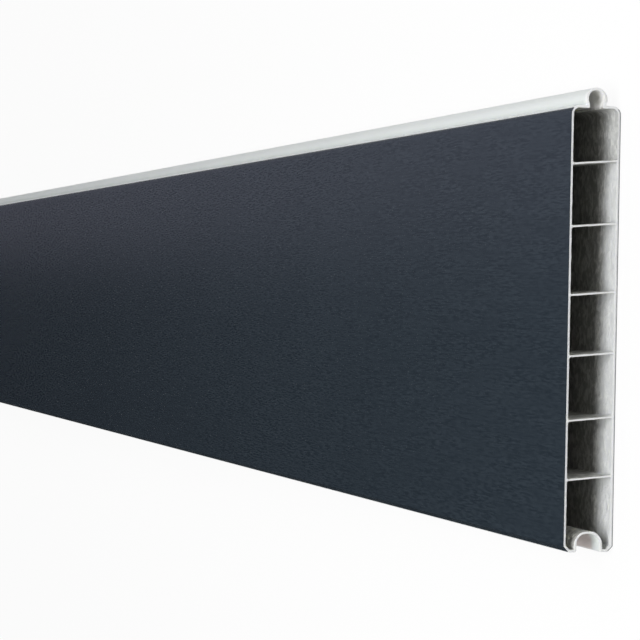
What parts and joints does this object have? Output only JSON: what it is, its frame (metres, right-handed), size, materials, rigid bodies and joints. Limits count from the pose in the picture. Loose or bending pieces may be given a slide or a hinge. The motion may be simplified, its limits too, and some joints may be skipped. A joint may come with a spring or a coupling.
{
  "type": "fence slat",
  "caption": "Hollow plastic fence slat with a tongue along one edge, a groove along the other, open ribbed cells inside and a dark decor film on both faces.",
  "frame": {"origin": "middle of the slat's length and of its width over the tongue, on the floor under its back face", "axes": "+X along the slat, +Y from the groove towards the tongue, +Z out of the front face"},
  "size_m": [1.8, 0.208, 0.024],
  "materials": {
    "pale_pvc": "smooth extruded rigid PVC, semi-matt, with saw marks on the cut ends",
    "anthracite_film": "embossed anthracite decor film with a fine lengthwise grain, satin"
  },
  "bodies": {
    "root": {"profile": "pale_pvc", "front_film": "anthracite_film", "back_film": "anthracite_film"}
  },
  "joints": []
}
